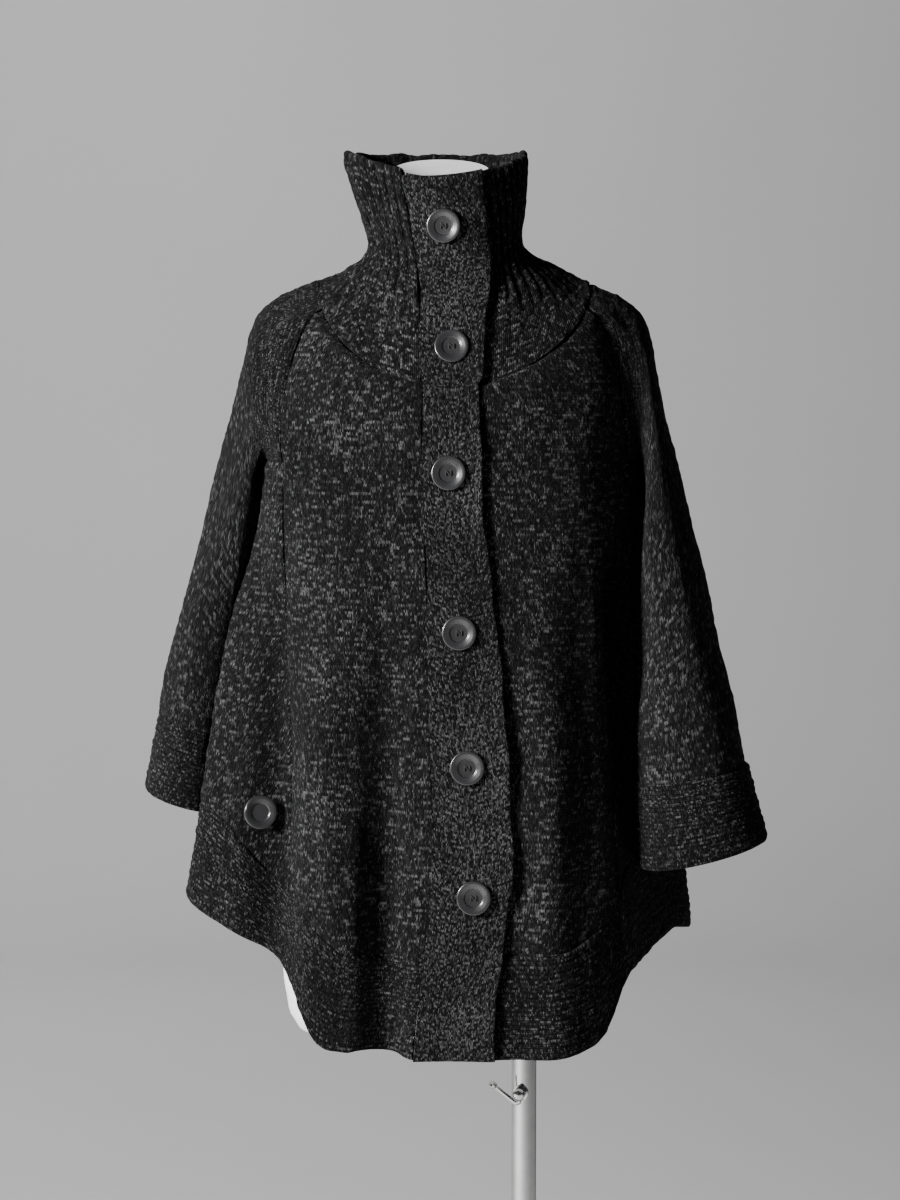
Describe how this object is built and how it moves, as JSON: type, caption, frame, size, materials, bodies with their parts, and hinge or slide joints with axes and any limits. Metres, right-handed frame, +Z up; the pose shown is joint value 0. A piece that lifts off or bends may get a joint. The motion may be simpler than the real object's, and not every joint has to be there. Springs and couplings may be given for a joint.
{
  "type": "button poncho on dress form",
  "caption": "Knitted poncho with a ribbed funnel collar, front placket with buttons, raglan sleeves and ridged cuffs and hem band, on a limbless dress form with a chrome stand.",
  "frame": {"origin": "centre of the round base's underside, on the axis of the mast", "axes": "+Z up; the garment's front faces -Y; +X is the wearer's left"},
  "size_m": [0.6227, 0.3517, 1.5654],
  "materials": {
    "wool": "matte charcoal marled knit",
    "button": "satin dark grey",
    "form": "smooth satin white",
    "tube": "polished",
    "base": "brushed"
  },
  "bodies": {
    "stand": {"base": "base", "outer_tube": "tube", "clamp_boss": "tube"},
    "clamp": {"clamp_screw": "tube", "clamp_handle": "tube"},
    "mast": {"mast": "tube"},
    "form": {"dress_form": "form", "collar": "wool", "front_right": "wool", "front_left": "wool", "back": "wool", "side_right": "wool", "side_left": "wool", "sleeve_right": "wool", "sleeve_left": "wool", "cuff_right": "wool", "cuff_left": "wool", "hem_band_right": "wool", "hem_band_left": "wool", "hem_band_back": "wool", "placket": "wool", "button_band": "wool", "button_1": "button", "button_2": "button", "button_3": "button", "button_4": "button", "button_5": "button", "button_6": "button", "side_button_right": "button", "side_button_left": "button"}
  },
  "joints": [
    {"name": "mast_slide", "type": "slide", "parent": "stand", "child": "mast", "axis": [0, 0, 1], "range_m": [0, 0.25]},
    {"name": "form_turn", "type": "hinge", "parent": "mast", "child": "form", "pos_m": [0, 0, 0.75], "axis": [0, 0, 1], "continuous": true},
    {"name": "clamp_turn", "type": "hinge", "parent": "stand", "child": "clamp", "pos_m": [0, 0, 0.618], "axis": [-0.2419, -0.9703, 0], "range_deg": [-180, 0]}
  ]
}
